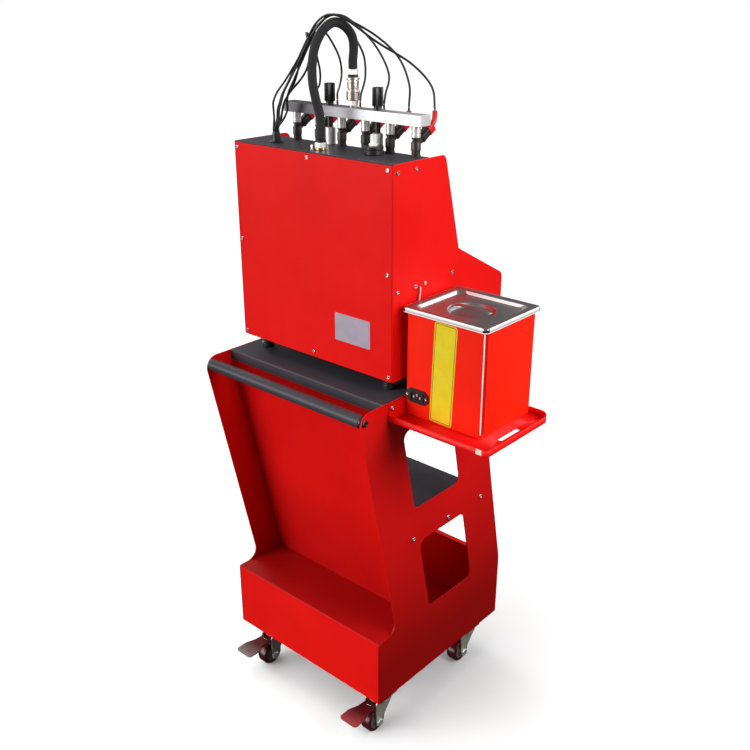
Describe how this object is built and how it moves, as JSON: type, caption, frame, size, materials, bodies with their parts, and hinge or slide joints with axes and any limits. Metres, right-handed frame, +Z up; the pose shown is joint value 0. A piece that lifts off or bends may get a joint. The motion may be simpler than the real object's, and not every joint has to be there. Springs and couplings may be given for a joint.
{
  "type": "ultrasonic injector cleaner",
  "caption": "Trolley on swivel casters with a fuel injector test cabinet, rail and hose on top and an ultrasonic bath on a side tray.",
  "frame": {"origin": "the middle of the footprint of the object without its hose and leads, on the floor under the caster wheels", "axes": "+Z up, +Y towards the side with the push handle and the brake pedals, -X towards the bath"},
  "size_m": [0.608, 0.4468, 1.3642],
  "materials": {
    "red_paint": "gloss powder coat",
    "grey_paint": "satin powder coat",
    "brushed_rail": "brushed",
    "polished_steel": "polished",
    "zinc_steel": "zinc plated, dull",
    "tank_steel": "deep drawn stainless",
    "black_moulding": "moulded",
    "black_rubber": "smooth",
    "woven_sleeve": "woven over hose",
    "wheel_tread": "dark red tread on a grey core",
    "tube_glass": "clear",
    "white_board": "smooth",
    "tank_plastic": "natural, slightly milky"
  },
  "bodies": {
    "frame": {"side_panel_left": "red_paint", "side_panel_right": "red_paint", "floor_pan": "red_paint", "rear_step": "red_paint", "rear_panel": "red_paint", "bath_tray": "red_paint", "bath_case": "red_paint", "cheek_left": "red_paint", "cheek_right": "red_paint", "rear_cover": "red_paint", "control_panel": "red_paint", "trolley_top": "grey_paint", "middle_shelf": "grey_paint", "push_handle": "grey_paint", "cabinet_top": "grey_paint", "cabinet_base": "grey_paint", "fuel_rail": "brushed_rail", "quick_coupler": "polished_steel", "hose_fitting": "polished_steel", "rail_post_left": "polished_steel", "rail_post_right": "polished_steel", "fuel_pump": "zinc_steel", "bath_tank": "tank_steel", "power_inlet": "black_moulding", "bath_inlet": "black_moulding", "cable_gland": "black_moulding", "return_fitting": "black_moulding", "pressure_gauge": "black_moulding", "injector_1": "black_moulding", "injector_2": "black_moulding", "injector_3": "black_moulding", "injector_4": "black_moulding", "injector_5": "black_moulding", "injector_6": "black_moulding", "injector_lead_1": "black_rubber", "injector_lead_2": "black_rubber", "injector_lead_3": "black_rubber", "injector_lead_4": "black_rubber", "injector_lead_5": "black_rubber", "injector_lead_6": "black_rubber", "supply_hose": "woven_sleeve", "measuring_tubes": "tube_glass", "tube_backboard": "white_board", "fuel_tank": "tank_plastic"},
    "caster_rear_left": {"caster_fork_rear_left": "zinc_steel"},
    "wheel_rear_left": {"caster_wheel_rear_left": "wheel_tread"},
    "caster_rear_right": {"caster_fork_rear_right": "zinc_steel"},
    "wheel_rear_right": {"caster_wheel_rear_right": "wheel_tread"},
    "caster_front_left": {"caster_fork_front_left": "zinc_steel"},
    "wheel_front_left": {"caster_wheel_front_left": "wheel_tread"},
    "caster_front_right": {"caster_fork_front_right": "zinc_steel"},
    "wheel_front_right": {"caster_wheel_front_right": "wheel_tread"},
    "pedal_left": {"brake_pedal_rear_left": "red_paint"},
    "pedal_right": {"brake_pedal_rear_right": "red_paint"},
    "knob_left": {"clamp_knob_left": "black_moulding"},
    "knob_right": {"clamp_knob_right": "black_moulding"},
    "sleeve": {"coupler_sleeve": "polished_steel"},
    "lid": {"bath_lid": "tank_steel"},
    "basket": {"bath_basket": "tank_steel"},
    "rocker": {"power_switch": "black_moulding"}
  },
  "joints": [
    {"name": "swivel_rear_left", "type": "hinge", "parent": "frame", "child": "caster_rear_left", "pos_m": [-0.051, 0.11989, 0.07], "axis": [0, 0, 1], "continuous": true},
    {"name": "spin_rear_left", "type": "hinge", "parent": "caster_rear_left", "child": "wheel_rear_left", "pos_m": [-0.051, 0.14189, 0.025], "axis": [1, 0, 0], "continuous": true},
    {"name": "swivel_rear_right", "type": "hinge", "parent": "frame", "child": "caster_rear_right", "pos_m": [0.259, 0.11989, 0.07], "axis": [0, 0, 1], "continuous": true},
    {"name": "spin_rear_right", "type": "hinge", "parent": "caster_rear_right", "child": "wheel_rear_right", "pos_m": [0.259, 0.14189, 0.025], "axis": [1, 0, 0], "continuous": true},
    {"name": "swivel_front_left", "type": "hinge", "parent": "frame", "child": "caster_front_left", "pos_m": [-0.051, -0.16711, 0.07], "axis": [0, 0, 1], "continuous": true},
    {"name": "spin_front_left", "type": "hinge", "parent": "caster_front_left", "child": "wheel_front_left", "pos_m": [-0.051, -0.14511, 0.025], "axis": [1, 0, 0], "continuous": true},
    {"name": "swivel_front_right", "type": "hinge", "parent": "frame", "child": "caster_front_right", "pos_m": [0.259, -0.16711, 0.07], "axis": [0, 0, 1], "continuous": true},
    {"name": "spin_front_right", "type": "hinge", "parent": "caster_front_right", "child": "wheel_front_right", "pos_m": [0.259, -0.14511, 0.025], "axis": [1, 0, 0], "continuous": true},
    {"name": "brake_left", "type": "hinge", "parent": "caster_rear_left", "child": "pedal_left", "pos_m": [-0.051, 0.13889, 0.06235], "axis": [1, 0, 0], "range_deg": [-10, 0]},
    {"name": "brake_right", "type": "hinge", "parent": "caster_rear_right", "child": "pedal_right", "pos_m": [0.259, 0.13889, 0.06235], "axis": [1, 0, 0], "range_deg": [-10, 0]},
    {"name": "knob_turn_left", "type": "hinge", "parent": "frame", "child": "knob_left", "pos_m": [0.0206, 0.04689, 1.23], "axis": [0, 0, 1], "continuous": true},
    {"name": "knob_turn_right", "type": "hinge", "parent": "frame", "child": "knob_right", "pos_m": [0.1314, 0.04689, 1.23], "axis": [0, 0, 1], "continuous": true},
    {"name": "sleeve_slide", "type": "slide", "parent": "frame", "child": "sleeve", "axis": [0, 0, -1], "range_m": [0, 0.0015], "stiffness_N_per_m": 200},
    {"name": "lid_lift", "type": "slide", "parent": "frame", "child": "lid", "axis": [0, 0, 1], "range_m": [0, 0.2]},
    {"name": "basket_lift", "type": "slide", "parent": "frame", "child": "basket", "axis": [0, 0, 1], "range_m": [0, 0.1]},
    {"name": "rocker_tilt", "type": "hinge", "parent": "frame", "child": "rocker", "pos_m": [0.2937, 0.01559, 0.8282], "axis": [0, 1, 0], "range_deg": [-8, 0]}
  ],
  "couplings": [
    {"joint": "basket_lift", "follows": "lid_lift", "ratio": 0.5}
  ]
}
